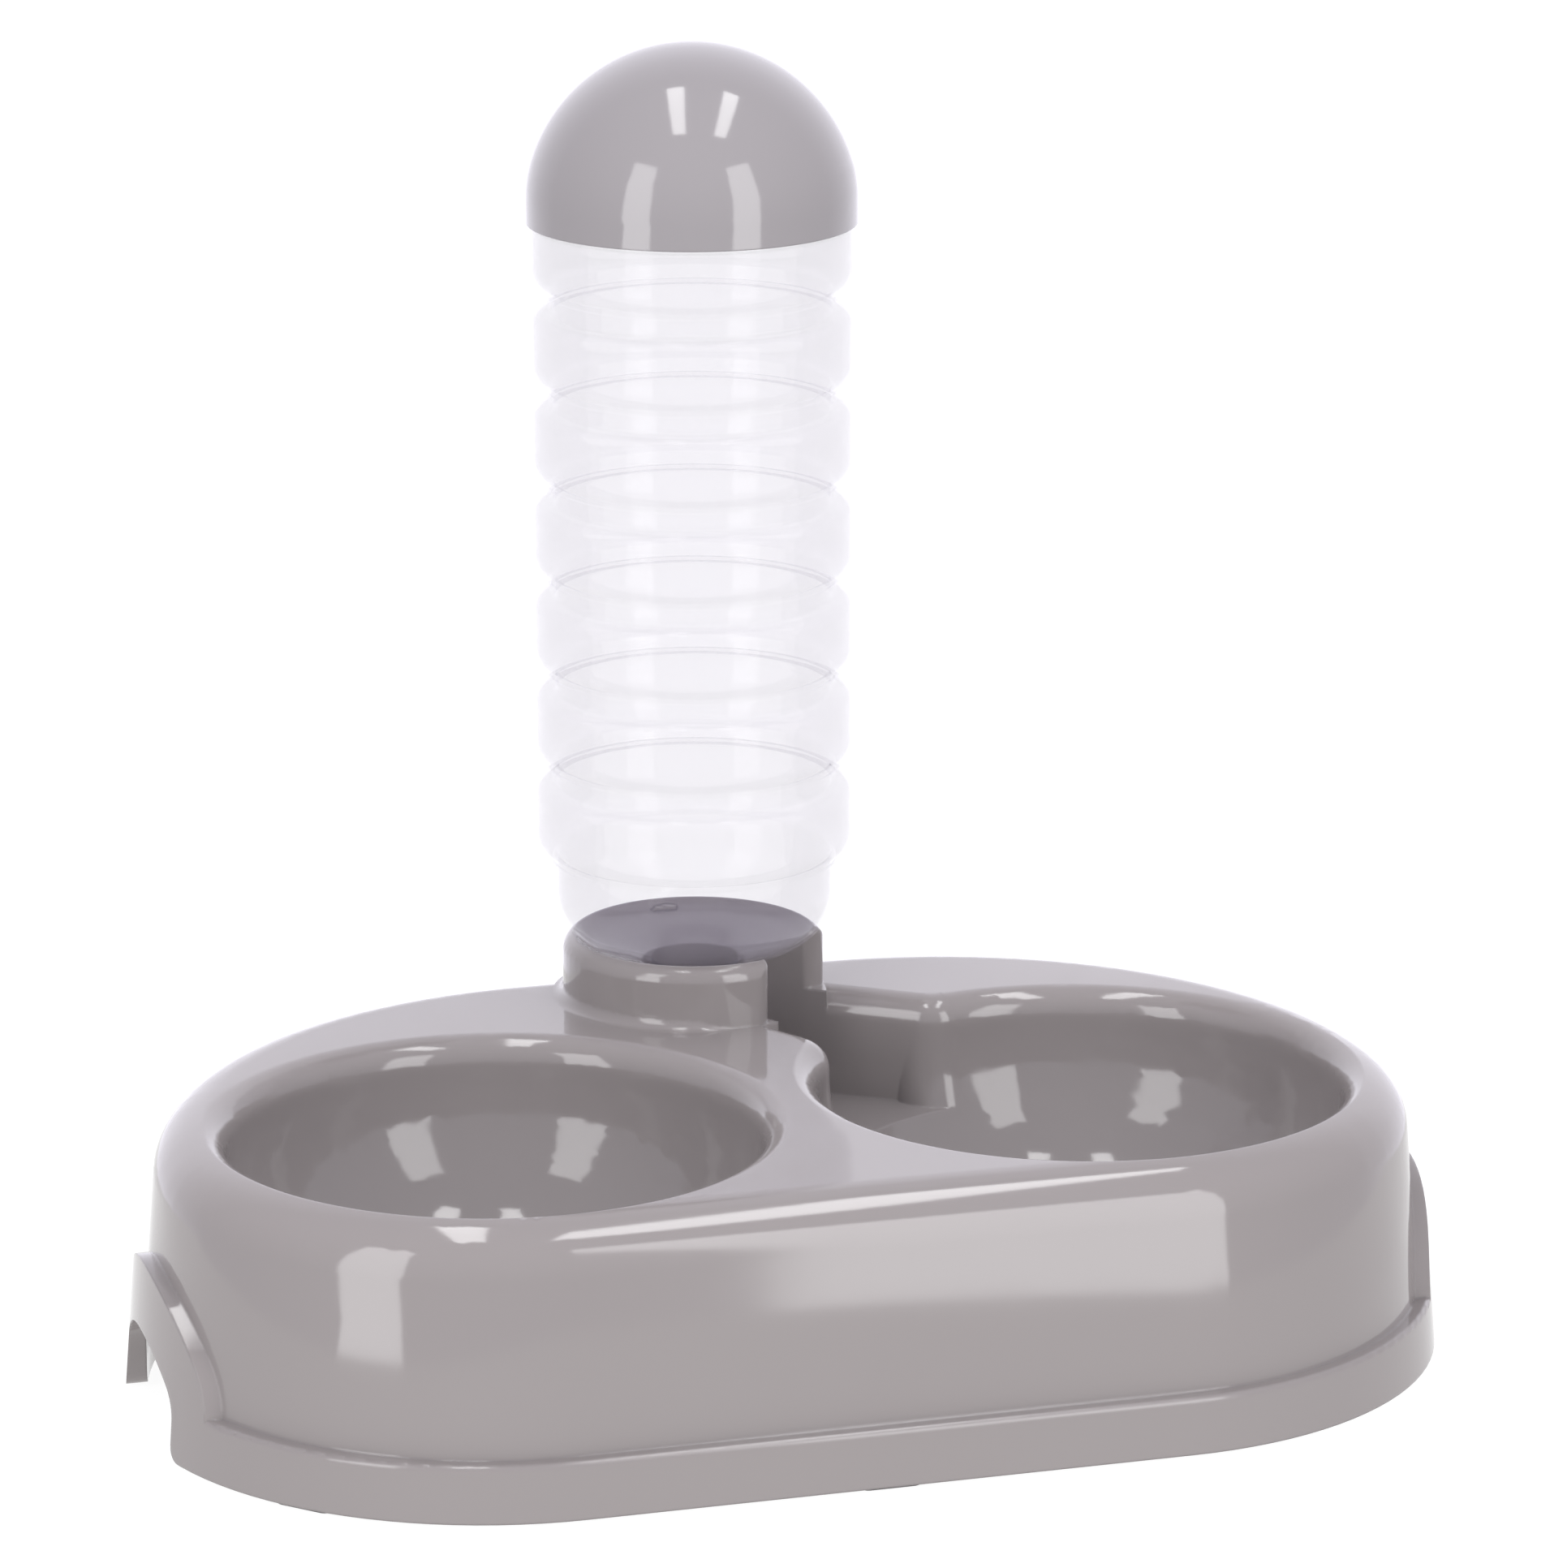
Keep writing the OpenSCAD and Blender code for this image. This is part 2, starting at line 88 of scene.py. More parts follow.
# %% Node helpers
def new_material(name):
    """A material with its main shader, ready to be given a finish."""
    material = bpy.data.materials.new(name)
    material.use_nodes = True
    shader = material.node_tree.nodes["Principled BSDF"]
    return material, shader


def add_node(material, kind, **sockets):
    """A node of that kind whose sockets are set by name; spaces are written as underscores."""
    node = material.node_tree.nodes.new(kind)
    for name, value in sockets.items():
        node.inputs[name.replace("_", " ")].default_value = value
    return node


def link(material, source, target):
    material.node_tree.links.new(source, target)


# %% Noise, range and bump
def noise(material, **sockets):
    """Noise on the piece's own place in metres, so that it stays with the piece."""
    where = add_node(material, "ShaderNodeTexCoord")
    grain = add_node(material, "ShaderNodeTexNoise", **sockets)
    link(material, where.outputs["Object"], grain.inputs["Vector"])
    return grain.outputs["Fac"]


def map_range(material, source, **sockets):
    """The source's values brought from one range to another."""
    changed = add_node(material, "ShaderNodeMapRange", **sockets)
    link(material, source, changed.inputs["Value"])
    return changed.outputs["Result"]


def add_bump(material, shader, height, strength, distance):
    """A Bump node between the height and the shader's normal."""
    bump = add_node(material, "ShaderNodeBump", Strength=strength, Distance=distance)
    link(material, height, bump.inputs["Height"])
    link(material, bump.outputs["Normal"], shader.inputs["Normal"])
    return bump


# %% [markdown]
# ## Moulded plastic
# The tray and the dome are injection moulded in a warm grey plastic with a polished surface. It
# is glossy but never a perfect mirror: the moulding has a faint waviness, its colour drifts a
# little, and fine rubbing makes the gloss uneven. Noise on Object coordinates gives all three,
# at three sizes. A Bevel node rounds the light along the edges that the mould leaves crisp.

# %% Moulded plastic
GLOSS_SPREAD, PLASTIC_IOR = 0.3, 1.53


def moulded_plastic(name, colour, deeper, gloss, edge_round):
    material, shader = new_material(name)
    tint = add_node(material, "ShaderNodeMix")
    tint.data_type = "RGBA"
    tint.inputs["A"].default_value = colour
    tint.inputs["B"].default_value = deeper
    drift = noise(material, Scale=9.0, Detail=3.0, Roughness=0.55)
    link(material, drift, tint.inputs["Factor"])
    link(material, tint.outputs["Result"], shader.inputs["Base Color"])

    rubbing = noise(material, Scale=60.0, Detail=6.0, Roughness=0.6)
    spread = map_range(material, rubbing, To_Min=gloss * (1 - GLOSS_SPREAD),
                       To_Max=gloss * (1 + GLOSS_SPREAD))
    link(material, spread, shader.inputs["Roughness"])

    waves = noise(material, Scale=24.0, Detail=2.0, Roughness=0.4)
    bump = add_bump(material, shader, waves, strength=0.03, distance=0.0006)
    soft_edge = add_node(material, "ShaderNodeBevel", Radius=edge_round)
    soft_edge.samples = 4
    link(material, soft_edge.outputs["Normal"], bump.inputs["Normal"])
    shader.inputs["IOR"].default_value = PLASTIC_IOR
    return material


# %% Grey plastics
TRAY_GREY, TRAY_DEEPER, TRAY_GLOSS = (0.249, 0.228, 0.224, 1.0), (0.237, 0.216, 0.213, 1.0), 0.075
DOME_GREY, DOME_DEEPER, DOME_GLOSS = (0.268, 0.252, 0.259, 1.0), (0.256, 0.240, 0.247, 1.0), 0.085
TRAY_EDGE, DOME_EDGE = 0.8 * MM, 0.5 * MM
tray_plastic = moulded_plastic("tray_plastic", TRAY_GREY, TRAY_DEEPER, TRAY_GLOSS, TRAY_EDGE)
dome_plastic = moulded_plastic("dome_plastic", DOME_GREY, DOME_DEEPER, DOME_GLOSS, DOME_EDGE)
print("plastics:", tray_plastic.name, dome_plastic.name)

# %% [markdown]
# ## Clear bottle plastic
# A blown drinks bottle is thin and clear, so light goes nearly straight through each wall. A
# see-through surface with a faint violet tint shows that better, and renders faster, than glass
# that bends every ray. It covers more where the wall is seen edge on, and at the thick neck.
# Transparency also thins out the highlights, so a clear coat puts some back: they are what makes
# the ribs readable. A slow bump gives the slight waves that blowing leaves.

# %% Cover of the wall
FACE_ON_COVER, EDGE_ON_COVER = 0.1, 0.145
EDGE_BLEND, FACE_ON_FRESNEL = 0.33, 0.04
NECK_TOP, NECK_FADE, NECK_COVER = 69.0 * MM, 4.0 * MM, 0.06


def wall_cover(material):
    """How much of what lies behind each surface of the bottle's wall covers."""
    sideways = add_node(material, "ShaderNodeLayerWeight", Blend=EDGE_BLEND)
    cover = map_range(material, sideways.outputs["Fresnel"], From_Min=FACE_ON_FRESNEL,
                      To_Min=FACE_ON_COVER, To_Max=EDGE_ON_COVER)
    where = add_node(material, "ShaderNodeTexCoord")
    height = add_node(material, "ShaderNodeSeparateXYZ")
    link(material, where.outputs["Object"], height.inputs["Vector"])
    neck = map_range(material, height.outputs["Z"], From_Min=NECK_TOP, From_Max=NECK_TOP + NECK_FADE,
                     To_Min=NECK_COVER, To_Max=0.0)
    total = add_node(material, "ShaderNodeMath")
    total.operation = "ADD"
    link(material, cover, total.inputs[0])
    link(material, neck, total.inputs[1])
    return total.outputs["Value"]


# %% Clear bottle plastic
BOTTLE_TINT, BOTTLE_ROUGHNESS, BOTTLE_IOR = (0.40, 0.365, 0.44, 1.0), 0.08, 1.5
COAT_WEIGHT, COAT_ROUGHNESS, COAT_IOR = 0.3, 0.04, 1.6


def clear_plastic(name):
    material, shader = new_material(name)
    shader.inputs["Base Color"].default_value = BOTTLE_TINT
    shader.inputs["Roughness"].default_value = BOTTLE_ROUGHNESS
    shader.inputs["IOR"].default_value = BOTTLE_IOR
    shader.inputs["Coat Weight"].default_value = COAT_WEIGHT
    shader.inputs["Coat Roughness"].default_value = COAT_ROUGHNESS
    shader.inputs["Coat IOR"].default_value = COAT_IOR
    link(material, wall_cover(material), shader.inputs["Alpha"])
    blown = noise(material, Scale=55.0, Detail=1.0, Roughness=0.4)
    add_bump(material, shader, blown, strength=0.06, distance=0.0008)
    return material


bottle_plastic = clear_plastic("bottle_plastic")
print("bottle finish:", bottle_plastic.name)

# %% [markdown]
# ## Rubber pads
# The pads under the skirt are a dark, matt rubber. A fine grain breaks up their surface.

# %% Rubber
RUBBER_COLOUR, RUBBER_ROUGHNESS = (0.09, 0.085, 0.085, 1.0), 0.7


def pad_rubber(name):
    material, shader = new_material(name)
    shader.inputs["Base Color"].default_value = RUBBER_COLOUR
    shader.inputs["Roughness"].default_value = RUBBER_ROUGHNESS
    grain = noise(material, Scale=900.0, Detail=3.0)
    add_bump(material, shader, grain, strength=0.3, distance=0.0002)
    return material


rubber = pad_rubber("pad_rubber")
print("pad finish:", rubber.name)

# %% [markdown]
# ## Shells with one smooth skin
# The frame's meshes are loose triangles, and each face of the model keeps its own normals. On a
# glossy part that shows as faint creases where two faces meet smoothly. So each piece is copied
# and its doubles are merged into one closed skin, which can then be edited and shaded.

# %% One skin
MERGE_WITHIN = 0.01 * MM


def one_skin(node):
    """An editable copy of a node's mesh, closed into one skin."""
    bm = bmesh.new()
    bm.from_mesh(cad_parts[node].data)
    bmesh.ops.remove_doubles(bm, verts=bm.verts, dist=MERGE_WITHIN)
    return bm


# %% [markdown]
# ## The tray's outline
# Seen from above, the tray is two pairs of round corners with straight sides between them. The
# place of a point on it is best told by the nearest point of its core: the straight stretch
# between the centres of its two corners, in front or at the back.

# %% Outline
tray_low, tray_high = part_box("tray")
FRONT_R, BACK_R = 76.5 * MM, 105.0 * MM
FRONT_HALF, BACK_HALF = 63.5 * MM, 35.0 * MM
CORE_Y = tray_low[1] + FRONT_R
SKIRT_FOOT = tray_low[2]


def from_outline(point):
    """How far a point lies inside the skirt's outline, and the way out from there."""
    front = point.y < CORE_Y
    half, radius = (FRONT_HALF, FRONT_R) if front else (BACK_HALF, BACK_R)
    core = Vector((max(-half, min(half, point.x)), CORE_Y, 0.0))
    out = Vector((point.x, point.y, 0.0)) - core
    return radius - out.length, out.normalized()


print("core line at y =", round(CORE_Y, 4))

# %% [markdown]
# ## Lean of the skirt
# A moulding leaves its mould only if its sides lean inwards a little. The skirt and the raised
# bands of the handles get the same lean as the wall above them: their outer points move inwards
# in proportion to their height. The points are picked by place alone. That has a known fault: the
# back of the collar comes as near to the outline, so a strip of it is drawn in too, and a hole is
# left there. Picking only points below the deck's edge would avoid it.

# %% Lean
WALL_LEAN = 0.08
SKIRT_DEPTH = 2.0 * MM


def lean_skirt(bm):
    moved = 0
    for vert in bm.verts:
        inside, out = from_outline(vert.co)
        if inside < SKIRT_DEPTH and vert.co.z > SKIRT_FOOT:
            vert.co -= out * WALL_LEAN * (vert.co.z - SKIRT_FOOT)
            moved += 1
    print("skirt points moved:", moved)


# %% [markdown]
# ## Edge of the collar
# The collar's rim is rounded more softly than its slot. Level cuts with bisect_plane first give
# its outer face enough points, and each point outside the wanted rounding is then drawn onto it.

# %% Collar edge
bottle_low, bottle_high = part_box("bottle")
AXIS_Y = (bottle_low[1] + bottle_high[1]) / 2
COLLAR_R, COLLAR_ROUND = 28.8 * MM, 4.0 * MM
COLLAR_TOP = tray_high[2]
ROUND_R, ROUND_Z = COLLAR_R - COLLAR_ROUND, COLLAR_TOP - COLLAR_ROUND
COLLAR_REACH = COLLAR_R + 0.1 * MM
LEVEL_CUTS, CUT_WITHIN = 6, 0.0005 * MM


def on_collar(vert):
    return ROUND_R < math.hypot(vert.co.x, vert.co.y - AXIS_Y) < COLLAR_REACH


def cut_levels(bm):
    """Level cuts through the outer face of the collar, in the lower half of its rounding."""
    for step in range(LEVEL_CUTS):
        faces = [face for face in bm.faces if all(on_collar(vert) for vert in face.verts)]
        faces = [face for face in faces if max(vert.co.z for vert in face.verts) > ROUND_Z]
        edges = {edge for face in faces for edge in face.edges}
        verts = {vert for face in faces for vert in face.verts}
        level = ROUND_Z + step * COLLAR_ROUND / 2 / LEVEL_CUTS
        bmesh.ops.bisect_plane(bm, geom=faces + list(edges) + list(verts), dist=CUT_WITHIN,
                               plane_co=(0.0, 0.0, level), plane_no=(0.0, 0.0, 1.0))


def round_collar(bm):
    cut_levels(bm)
    drawn = 0
    for vert in bm.verts:
        if on_collar(vert) and vert.co.z > ROUND_Z:
            radius = math.hypot(vert.co.x, vert.co.y - AXIS_Y)
            away = Vector((radius - ROUND_R, vert.co.z - ROUND_Z))
            if away.length > COLLAR_ROUND:
                away *= COLLAR_ROUND / away.length
                grow = (ROUND_R + away.x) / radius
                vert.co.x *= grow
                vert.co.y = AXIS_Y + (vert.co.y - AXIS_Y) * grow
                vert.co.z = ROUND_Z + away.y
                drawn += 1
    print("collar points drawn onto the rounding:", drawn)


# %% [markdown]
# ## Upright corners of the channel
# Water runs from the slot in the collar through the channel into the right bowl. Where its walls
# meet the bowl, the moulding has generous round corners. Each is found the same way: its centre
# lies one radius behind the wall, and one radius outside the bowl. The work is done along the
# channel, and `place` brings it into the tray.

# %% Corner places
DECK_TOP, CHANNEL_FLOOR = 59.8 * MM, 36.3 * MM
SLOT_HALF, FLARE_FROM = 11.5 * MM, 22.0 * MM
CHANNEL_TURN, CHANNEL_ROUND = math.radians(-40.0), 10.0 * MM
FLARES = {"back": (1.0, math.radians(4.3)), "front": (-1.0, math.radians(19.0))}
BOWL_R, BOWL_PLACE = 55.5 * MM, Vector((63.5 * MM, -18.125 * MM))


def place(point, side):
    """A point told along the channel, mirrored for its front wall, as a place in the tray."""
    turned = Matrix.Rotation(CHANNEL_TURN, 2) @ Vector((point.x, side * point.y))
    return Vector((turned.x, turned.y + AXIS_Y))


def corner_centre(start, along, out, middle):
    """The centre of the circle that touches both the wall from start and the round bowl."""
    offset = start + out * CHANNEL_ROUND - middle
    back, away = offset.dot(along), BOWL_R + CHANNEL_ROUND
    run = -back - math.sqrt(back * back - offset.dot(offset) + away * away)
    return start + out * CHANNEL_ROUND + along * run


corners = []
for wall, (side, flare) in FLARES.items():
    start = Vector((FLARE_FROM, SLOT_HALF))
    along = Vector((math.cos(flare), math.sin(flare)))
    out = Vector((-math.sin(flare), math.cos(flare)))
    bowl = Matrix.Rotation(-CHANNEL_TURN, 2) @ (BOWL_PLACE - Vector((0.0, AXIS_Y)))
    bowl.y *= side
    centre = corner_centre(start, along, out, bowl)
    corners.append((side, centre, out, (bowl - centre).normalized()))
    print(wall, "corner at", [round(v / MM, 2) for v in place(centre, side)])

# %% [markdown]
# ## Wedges at the corners
# A sharp upright corner becomes round in two moves. First a wedge cuts away all that lies beyond
# the two lines from the corner's centre to its walls. Then a round post fills the gap. The wedge
# is a prism: one face, extruded upwards.

# %% Wedges
REACH = 5.0 * MM


def prism(bm, outline, along):
    """A straight prism from an outline; along is its length and its direction."""
    face = bm.faces.new([bm.verts.new(point) for point in outline])
    raised = bmesh.ops.extrude_face_region(bm, geom=[face])["geom"]
    raised = [part for part in raised if isinstance(part, bmesh.types.BMVert)]
    bmesh.ops.translate(bm, verts=raised, vec=along)


def add_wedges(bm):
    reach, low = CHANNEL_ROUND + REACH, Vector((0.0, 0.0, CHANNEL_FLOOR))
    for side, centre, out, inward in corners:
        tip = (inward - out).normalized()
        outline = [centre, centre - out * reach, centre + tip * 2 * reach, centre + inward * reach]
        outline = [place(point, side).to_3d() + low for point in outline]
        prism(bm, outline, (0.0, 0.0, DECK_TOP + REACH - CHANNEL_FLOOR))


# %% [markdown]
# ## Feet of the legs
# A leg stands on each side of a finger hole. So that it doesn't pinch, the inner edge of its foot
# is round. A small prism takes that edge off, and its section has one hollow side: a quarter of a
# circle, seen from outside.

# %% Leg cutters
GRIP_HALF, GRIP_FROM, GRIP_TO = 21.5 * MM, 124.0 * MM, 142.0 * MM
LEG_ROUND, ARC_STEPS, OVER = 3.0 * MM, 6, 1.0 * MM


def hollow_arc(radius):
    """A quarter circle between the two axes that bends towards them."""
    turns = [math.radians(270.0 - 90.0 * step / ARC_STEPS) for step in range(ARC_STEPS + 1)]
    return [(radius * (1 + math.cos(turn)), radius * (1 + math.sin(turn))) for turn in turns]


def add_leg_cutters(bm):
    section = [(-OVER, -OVER), (LEG_ROUND, -OVER), *hollow_arc(LEG_ROUND), (-OVER, LEG_ROUND)]
    for end in (-1, 1):
        for leg in (-1, 1):
            outline = [(end * GRIP_FROM, CORE_Y + leg * (GRIP_HALF + y), SKIRT_FOOT + z)
                       for y, z in section]
            prism(bm, outline, (end * (GRIP_TO - GRIP_FROM), 0.0, 0.0))


# %% [markdown]
# ## Posts in the corners
# Each post starts as a cylinder from create_cone, a hair proud of both walls, with its top edge
# bevelled round like the deck's. Below its rim the bowl curves inwards, and the post follows it:
# subdivide_edges gives it levels, and each level is shifted towards the bowl's middle by as much
# as the bowl's wall has come in there.

# %% Post shape
POST_SIDES, POST_LEVELS, POST_SUNK = 64, 8, 1.2 * MM
RIM_ROUND, RIM_STEPS, PROUD = 6.0 * MM, 8, 0.05 * MM
POST_R = CHANNEL_ROUND + PROUD
BOWL_SIDE_R, BOWL_SIDE_Z = 40.0 * MM, 52.8 * MM


def come_in(height):
    """How far the bowl's wall has come in at that height."""
    below = max(0.0, BOWL_SIDE_Z - height)
    return BOWL_SIDE_R - math.sqrt(BOWL_SIDE_R ** 2 - below ** 2)


def post_edges(bm, middle, wanted):
    """The edges of the post round that middle for whose two heights wanted holds."""
    near = [edge for edge in bm.edges
            if all((vert.co.to_2d() - middle).length < POST_R + PROUD for vert in edge.verts)]
    return [edge for edge in near if wanted(edge.verts[0].co.z, edge.verts[1].co.z)]


# %% Posts
def add_post(bm, side, centre, inward):
    middle, foot = place(centre, side), CHANNEL_FLOOR - POST_SUNK
    at = Matrix.Translation((middle.x, middle.y, (foot + DECK_TOP) / 2))
    bmesh.ops.create_cone(bm, cap_ends=True, segments=POST_SIDES, radius1=POST_R, radius2=POST_R,
                          depth=DECK_TOP - foot, matrix=at)
    crown = post_edges(bm, middle, lambda one, other: min(one, other) > DECK_TOP - PROUD)
    bmesh.ops.bevel(bm, geom=crown, offset=RIM_ROUND, segments=RIM_STEPS, profile=0.5,
                    affect="EDGES", material=-1)
    upright = post_edges(bm, middle, lambda one, other: abs(one - other) > RIM_ROUND)
    bmesh.ops.subdivide_edges(bm, edges=upright, cuts=POST_LEVELS, use_grid_fill=True)
    step = place(centre + inward, side) - middle
    for vert in bm.verts:
        if (vert.co.to_2d() - middle).length < POST_R + PROUD:
            vert.co += (step * come_in(vert.co.z)).to_3d()


def corner_posts():
    bm = bmesh.new()
    for side, centre, out, inward in corners:
        add_post(bm, side, centre, inward)
    print("post faces:", len(bm.faces))
    return bm


# %% [markdown]
# ## Foot of the collar
# The collar grows out of the deck through a small hollow curve. Its section is a triangle with a
# hollow long side, and a spin round the bottle's axis carries it along the deck. It thins out
# towards both ends, where the deck rounds down into the channel. At the back the deck falls away
# below it, so there it stands out as a bead.

# %% Foot ring
FOOT_ROUND, FOOT_SUNK, SPIN_STEPS = 2.5 * MM, 0.4 * MM, 72
FOOT_FROM, FOOT_TO = math.radians(43.0), math.radians(311.0)


def foot_ring():
    """The foot at its full size, from one end to the other."""
    low, inner, outer = DECK_TOP - FOOT_SUNK, COLLAR_R - FOOT_SUNK, COLLAR_R + FOOT_ROUND
    section = [(inner, low), (outer, low)]
    section += [(COLLAR_R + across, DECK_TOP + up) for across, up in hollow_arc(FOOT_ROUND)]
    section.append((inner, DECK_TOP + FOOT_ROUND))
    begin = Matrix.Rotation(CHANNEL_TURN + FOOT_FROM, 3, "Z")
    axis = Vector((0.0, AXIS_Y, 0.0))
    ring = bmesh.new()
    face = ring.faces.new([ring.verts.new(axis + begin @ Vector((x, 0.0, z))) for x, z in section])
    bmesh.ops.spin(ring, geom=list(ring.verts) + list(ring.edges) + [face], cent=axis,
                   axis=(0.0, 0.0, 1.0), angle=FOOT_TO - FOOT_FROM, steps=SPIN_STEPS,
                   use_duplicate=False)
    return ring


# %% Foot that thins out
FOOT_FADE, THINNEST = math.radians(16.0), 0.08


def add_collar_foot(bm):
    ring = foot_ring()
    for vert in ring.verts:
        flat = vert.co.to_2d() - Vector((0.0, AXIS_Y))
        turned = (math.atan2(flat.y, flat.x) - CHANNEL_TURN - FOOT_FROM) % (2 * math.pi)
        left = min(turned, FOOT_TO - FOOT_FROM - turned)
        share = max(THINNEST, min(1.0, left / FOOT_FADE))
        flat *= (COLLAR_R + (flat.length - COLLAR_R) * share) / flat.length
        vert.co = Vector((flat.x, flat.y + AXIS_Y, DECK_TOP + (vert.co.z - DECK_TOP) * share))
    bmesh.ops.recalc_face_normals(ring, faces=ring.faces)
    mesh = bpy.data.meshes.new("collar_foot")
    ring.to_mesh(mesh)
    ring.free()
    bm.from_mesh(mesh)
    bpy.data.meshes.remove(mesh)


# %% [markdown]
# ## Cutting and filling
# A Boolean modifier takes one closed shape from another or joins the two, and its result stays
# closed. The cutters go first, then the filling. All of it happens on spare objects that are
# removed again, so only the new skin is left.

# %% Cutting and filling
RESULT_MERGE = 0.001 * MM


def as_object(bm, name):
    mesh = bpy.data.meshes.new(name)
    bm.to_mesh(mesh)
    bm.free()
    piece = bpy.data.objects.new(name, mesh)
    bpy.context.scene.collection.objects.link(piece)
    return piece


def cut_and_fill(bm, cutters, filling):
    """The skin less the cutters, with the filling added."""
    skin = as_object(bm, "raw_tray")
    tools = {"DIFFERENCE": as_object(cutters, "cutters"), "UNION": as_object(filling, "filling")}
    for operation, tool in tools.items():
        step = skin.modifiers.new(operation.lower(), "BOOLEAN")
        step.operation, step.solver, step.object = operation, "EXACT", tool
    bpy.context.view_layer.update()
    view = bpy.context.evaluated_depsgraph_get()
    result = bpy.data.meshes.new_from_object(skin.evaluated_get(view))
    for piece in (skin, *tools.values()):
        spare = piece.data
        bpy.data.objects.remove(piece)
        bpy.data.meshes.remove(spare)
    bm = bmesh.new()
    bm.from_mesh(result)
    bpy.data.meshes.remove(result)
    bmesh.ops.remove_doubles(bm, verts=bm.verts, dist=RESULT_MERGE)
    print("faces after cutting and filling:", len(bm.faces))
    return bm


# %% [markdown]
# ## Smooth shading
# Each skin is shaded smooth up to a chosen angle, and a Weighted Normal modifier settles the
# normals by the size of the faces round them.

# %% Smooth copies
SMOOTH_UP_TO = math.radians(28)


def finish_piece(bm, node, name, material):
    for face in bm.faces:
        face.smooth = True
    for edge in bm.edges:
        edge.smooth = edge.is_manifold and edge.calc_face_angle(0.0) < SMOOTH_UP_TO
    open_edges = sum(1 for edge in bm.edges if not edge.is_manifold)
    print(name, "faces:", len(bm.faces), "open edges:", open_edges)
    mesh = bpy.data.meshes.new(name)
    bm.to_mesh(mesh)
    bm.free()
    mesh.materials.append(material)
    piece = bpy.data.objects.new(name, mesh)
    bpy.context.scene.collection.objects.link(piece)
    settle = piece.modifiers.new("settle_normals", "WEIGHTED_NORMAL")
    settle.keep_sharp = True
    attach(piece, "root")
    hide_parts(node)


# %% [markdown]
# ## The four pieces
# The tray's skin goes through all its mends in turn. The other three pieces only need one smooth
# skin and their finish.

# %% Tray
tray_skin = one_skin("tray")
lean_skirt(tray_skin)
round_collar(tray_skin)
cutters = bmesh.new()
add_wedges(cutters)
add_leg_cutters(cutters)
bmesh.ops.recalc_face_normals(cutters, faces=cutters.faces)
filling = corner_posts()
add_collar_foot(filling)
tray_skin = cut_and_fill(tray_skin, cutters, filling)
finish_piece(tray_skin, "tray", "tray_shell", tray_plastic)

# %% Dome, bottle and pads
finish_piece(one_skin("dome_cap"), "dome_cap", "dome_shell", dome_plastic)
finish_piece(one_skin("bottle"), "bottle", "bottle_wall", bottle_plastic)
finish_piece(one_skin("foot_pads"), "foot_pads", "rubber_pads", rubber)

# %% [markdown]
# ## Floor and round table
# The floor is so evenly white that it runs into the background: most of its brightness is its
# own, and only a little comes from the lights, so the shadow under the skirt stays faint. What
# a glossy wall mirrors isn't the floor but a small round table. Its edge is what cuts off the
# reflections of the lights half way down the tray's front.

# %% White ground
def white_ground(name, colour, glow):
    """A matt white surface that also shines by itself."""
    material, shader = new_material(name)
    shader.inputs["Base Color"].default_value = (colour, colour, colour, 1.0)
    shader.inputs["Roughness"].default_value = 0.9
    shader.inputs["Emission Color"].default_value = (1.0, 1.0, 1.0, 1.0)
    shader.inputs["Emission Strength"].default_value = glow
    return material


def flat_piece(name, bm, material):
    mesh = bpy.data.meshes.new(name)
    bm.to_mesh(mesh)
    bm.free()
    mesh.materials.append(material)
    piece = bpy.data.objects.new(name, mesh)
    bpy.context.scene.collection.objects.link(piece)
    return piece


# %% Floor and table
FLOOR_HALF, TABLE_R, TABLE_SIDES = 6.0, 0.28, 96
GROUND_COLOUR, GROUND_GLOW = 0.15, 0.9
ground = white_ground("white_ground", GROUND_COLOUR, GROUND_GLOW)
floor_bm = bmesh.new()
bmesh.ops.create_grid(floor_bm, x_segments=1, y_segments=1, size=FLOOR_HALF)
floor = flat_piece("floor", floor_bm, ground)
floor.visible_glossy = False

table_bm = bmesh.new()
bmesh.ops.create_circle(table_bm, cap_ends=True, segments=TABLE_SIDES, radius=TABLE_R)
table = flat_piece("round_table", table_bm, ground)
table.visible_camera = table.visible_diffuse = table.visible_shadow = False
table.visible_transmission = False
print("floor half width:", FLOOR_HALF, "table radius:", TABLE_R)

# %% [markdown]
# ## Light
# Two upright soft boxes stand to the left and right of the camera and reach below the table's
# top. They make the tall strips on the dome and the bottle and the windows on the front wall.
# Two long strip lights hang overhead and run towards the camera. They make the small windows on
# the dome and the bright marks in the bowls. Places are told as seen from the object: so far to
# the right, so far towards the camera, so high.

# %% A studio light
RIGHT = Vector((math.cos(CAMERA_TURN), math.sin(CAMERA_TURN), 0.0))
TOWARD = Vector((math.sin(CAMERA_TURN), -math.cos(CAMERA_TURN), 0.0))
UPWARD = Vector((0.0, 0.0, 1.0))


def studio_light(name, place, width, height, glow):
    """A flat rectangular light whose surface looks glow times as bright as white paper."""
    light = bpy.data.lights.new(name, "AREA")
    light.shape = "RECTANGLE"
    light.size = width
    light.size_y = height
    light.energy = glow * math.pi * width * height
    lamp = bpy.data.objects.new(name, light)
    lamp.location = place
    lamp.visible_camera = False
    bpy.context.scene.collection.objects.link(lamp)
    return lamp


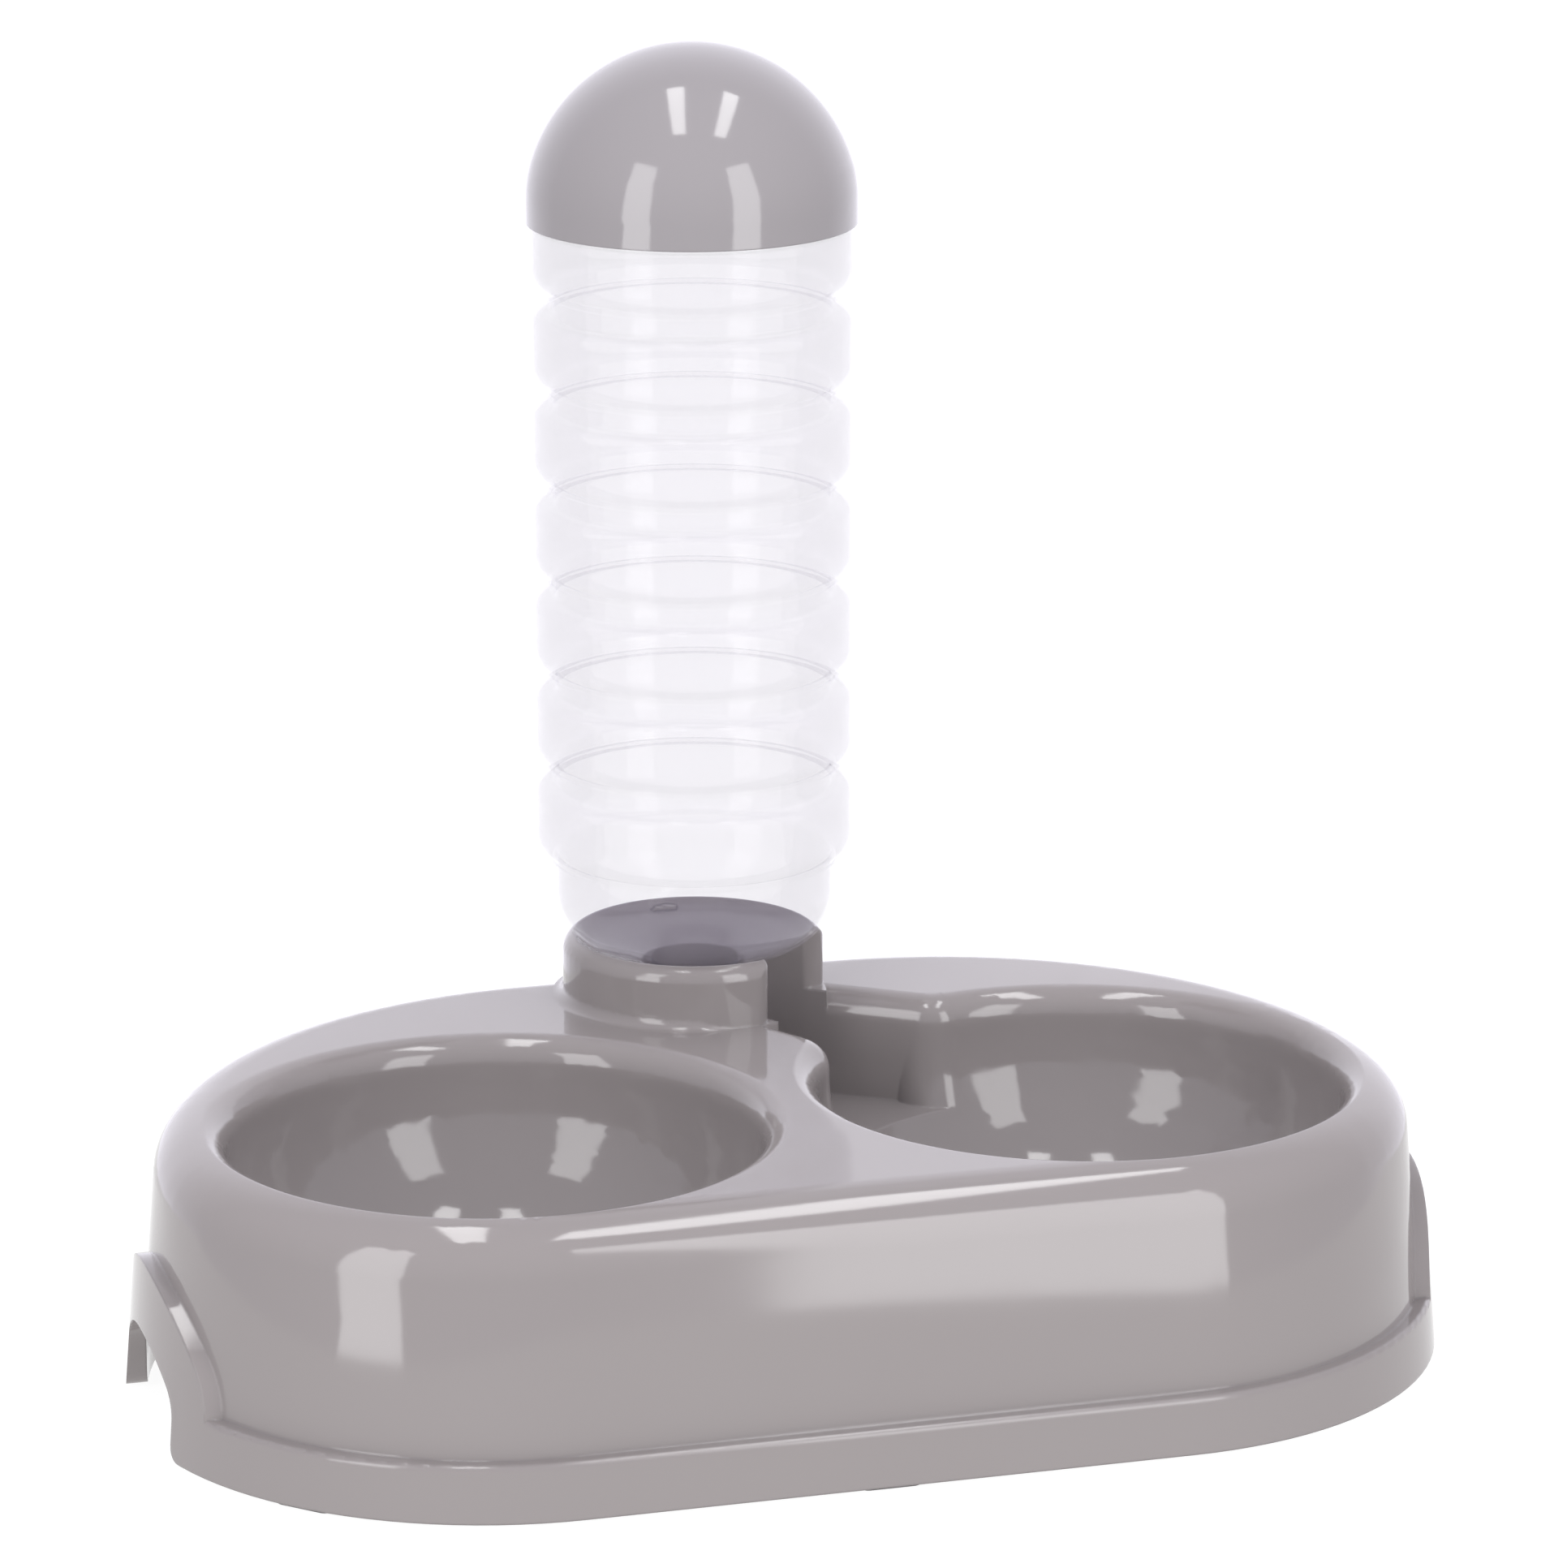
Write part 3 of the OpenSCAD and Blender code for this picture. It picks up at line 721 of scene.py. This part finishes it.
# %% Soft boxes
BOX_TURNS = {"left_box": -39.0, "right_box": 39.5}
BOX_AWAY, BOX_WIDTH = 1.5, 0.53
BOX_FOOT, BOX_TOP, BOX_GLOW = -0.35, 1.42, 4.3
BOX_MIDDLE, BOX_HEIGHT = (BOX_FOOT + BOX_TOP) / 2, BOX_TOP - BOX_FOOT
for name, turn in BOX_TURNS.items():
    turn = math.radians(turn)
    spot = (RIGHT * math.sin(turn) + TOWARD * math.cos(turn)) * BOX_AWAY
    box = studio_light(name, spot + UPWARD * BOX_MIDDLE, BOX_WIDTH, BOX_HEIGHT, BOX_GLOW)
    box.rotation_euler = (-spot).to_track_quat("-Z", "Y").to_euler()
    print(name, "at", [round(v, 2) for v in box.location])

# %% Strip lights
STRIPS_ASIDE = {"left_strip": -0.19, "right_strip": 0.43}
STRIP_HEIGHT, STRIP_WIDTH, STRIP_GLOW = 1.5, 0.19, 8.0
STRIP_NEAR, STRIP_FAR = 0.6, -0.32
for name, aside in STRIPS_ASIDE.items():
    spot = RIGHT * aside + TOWARD * (STRIP_NEAR + STRIP_FAR) / 2 + UPWARD * STRIP_HEIGHT
    strip = studio_light(name, spot, STRIP_WIDTH, STRIP_NEAR - STRIP_FAR, STRIP_GLOW)
    strip.rotation_euler = (0.0, 0.0, CAMERA_TURN)
    print(name, "at", [round(v, 2) for v in strip.location])

# %% [markdown]
# ## The white room
# The room fills the shadows. The wall behind the object is lit more strongly than the rest and
# is a cooler white, and the flat deck, seen at a low angle, mirrors it. So the brightness of the
# world grows with how far a direction points away from the camera.

# %% White room
ROOM_COLOUR, ROOM_GLOW, BACK_GLOW = (0.93, 0.92, 1.0, 1.0), 0.83, 1.58
BACK_BEGINS, BACK_FULL = 0.35, 0.8
world = bpy.data.worlds.new("white_room")
world.use_nodes = True
nodes, background = world.node_tree.nodes, world.node_tree.nodes["Background"]
background.inputs["Color"].default_value = ROOM_COLOUR
direction = nodes.new("ShaderNodeTexCoord")
backward = nodes.new("ShaderNodeVectorMath")
backward.operation = "DOT_PRODUCT"
backward.inputs[1].default_value = -TOWARD
glow = nodes.new("ShaderNodeMapRange")
glow.inputs["From Min"].default_value = BACK_BEGINS
glow.inputs["From Max"].default_value = BACK_FULL
glow.inputs["To Min"].default_value = ROOM_GLOW
glow.inputs["To Max"].default_value = BACK_GLOW
world.node_tree.links.new(direction.outputs["Generated"], backward.inputs[0])
world.node_tree.links.new(backward.outputs["Value"], glow.inputs["Value"])
world.node_tree.links.new(glow.outputs["Result"], background.inputs["Strength"])
bpy.context.scene.world = world
bpy.context.scene.view_settings.view_transform = "Standard"
print("room glow:", ROOM_GLOW, "to", BACK_GLOW)
